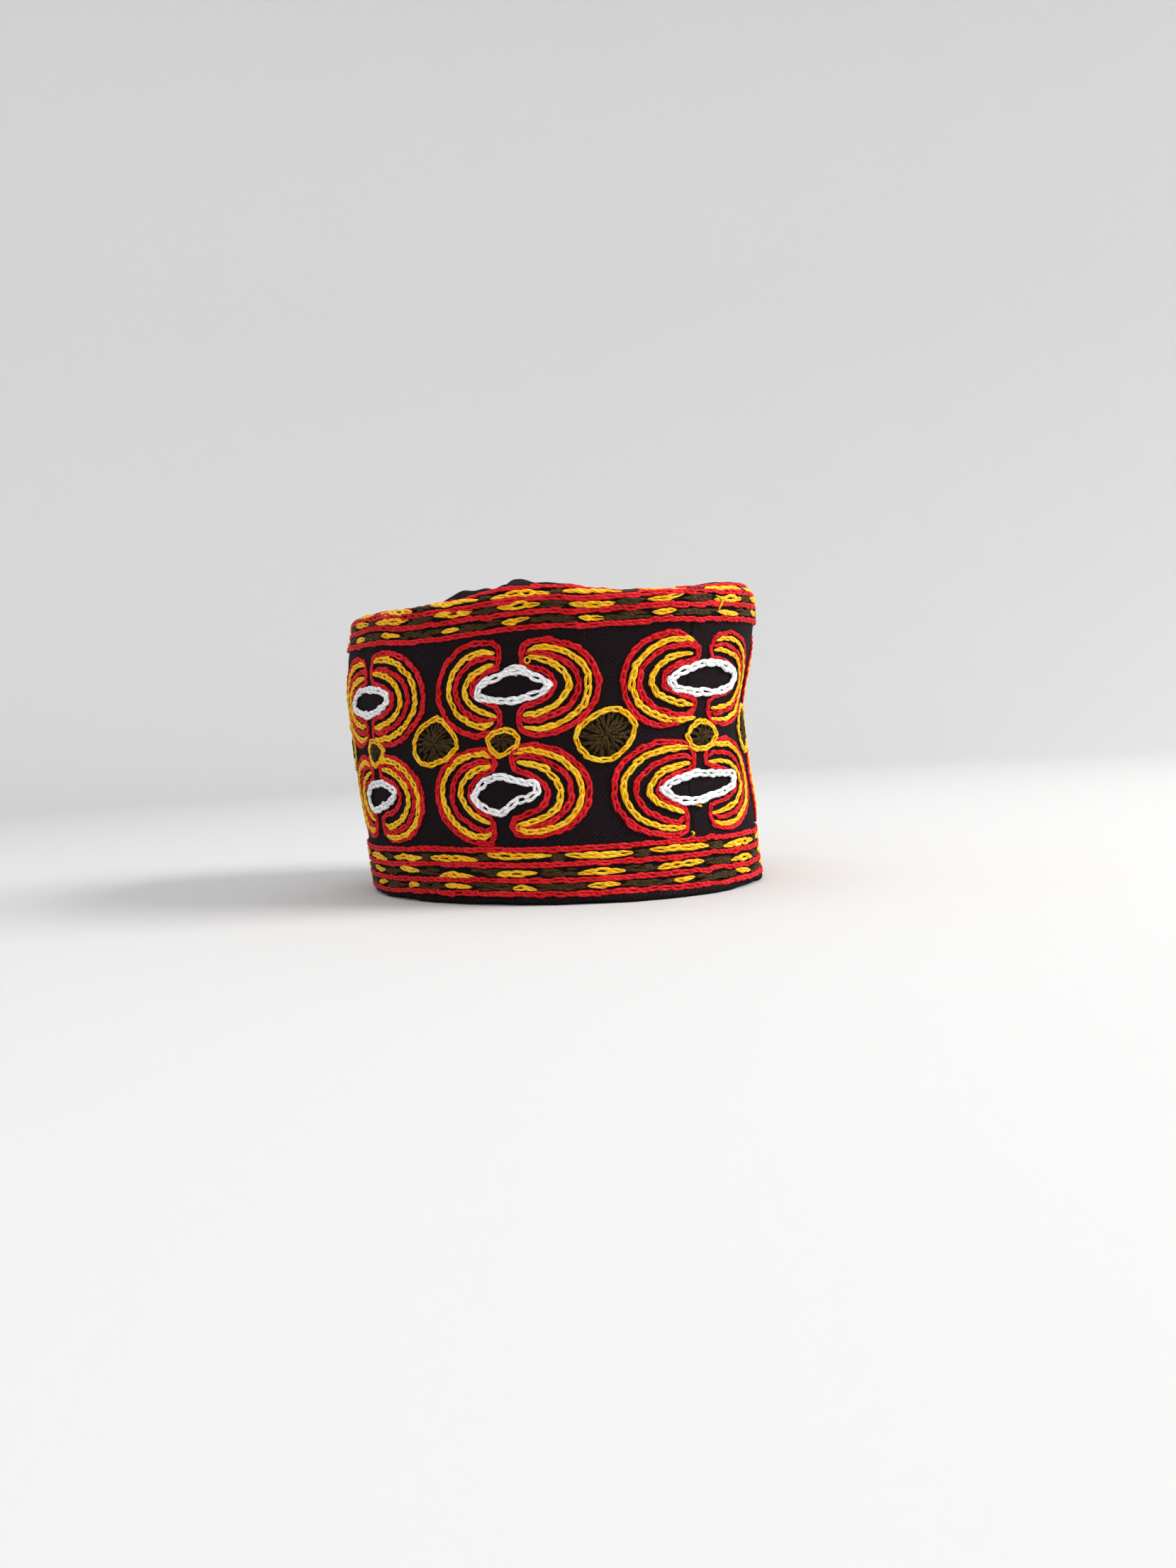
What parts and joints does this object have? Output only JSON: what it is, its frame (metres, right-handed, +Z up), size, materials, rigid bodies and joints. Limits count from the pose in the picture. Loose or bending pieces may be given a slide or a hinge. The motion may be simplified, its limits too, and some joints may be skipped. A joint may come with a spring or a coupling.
{
  "type": "embroidered cap",
  "caption": "Tall oval cloth cap with a soft flat crown, a turned-up hem, striped stitched borders and raised chain-stitched medallions and discs round the band.",
  "frame": {"origin": "middle of the footprint, on the surface that the hem rests on", "axes": "+Z up, front of the cap towards -Y, wearer's right towards -X"},
  "size_m": [0.1662, 0.2144, 0.1306],
  "materials": {
    "black_cloth": "matt black cotton twill",
    "red_thread": "soft twisted red yarn",
    "yellow_thread": "soft twisted yellow yarn",
    "white_thread": "soft twisted white yarn",
    "olive_thread": "dark olive brown woolly yarn"
  },
  "bodies": {
    "root": {"band": "black_cloth", "crown": "black_cloth", "hem": "black_cloth", "top_border": "red_thread", "bottom_border": "red_thread", "medallion_upper_1": "red_thread", "medallion_lower_1": "yellow_thread", "small_disc_1": "olive_thread", "large_disc_1": "olive_thread", "medallion_upper_2": "red_thread", "medallion_lower_2": "yellow_thread", "small_disc_2": "olive_thread", "large_disc_2": "olive_thread", "medallion_upper_3": "red_thread", "medallion_lower_3": "yellow_thread", "small_disc_3": "olive_thread", "large_disc_3": "olive_thread", "medallion_upper_4": "red_thread", "medallion_lower_4": "yellow_thread", "small_disc_4": "olive_thread", "large_disc_4": "olive_thread", "medallion_upper_5": "red_thread", "medallion_lower_5": "yellow_thread", "small_disc_5": "olive_thread", "large_disc_5": "olive_thread", "medallion_upper_6": "red_thread", "medallion_lower_6": "yellow_thread", "small_disc_6": "olive_thread", "large_disc_6": "olive_thread", "medallion_upper_7": "red_thread", "medallion_lower_7": "yellow_thread", "small_disc_7": "olive_thread", "large_disc_7": "olive_thread"}
  },
  "joints": []
}
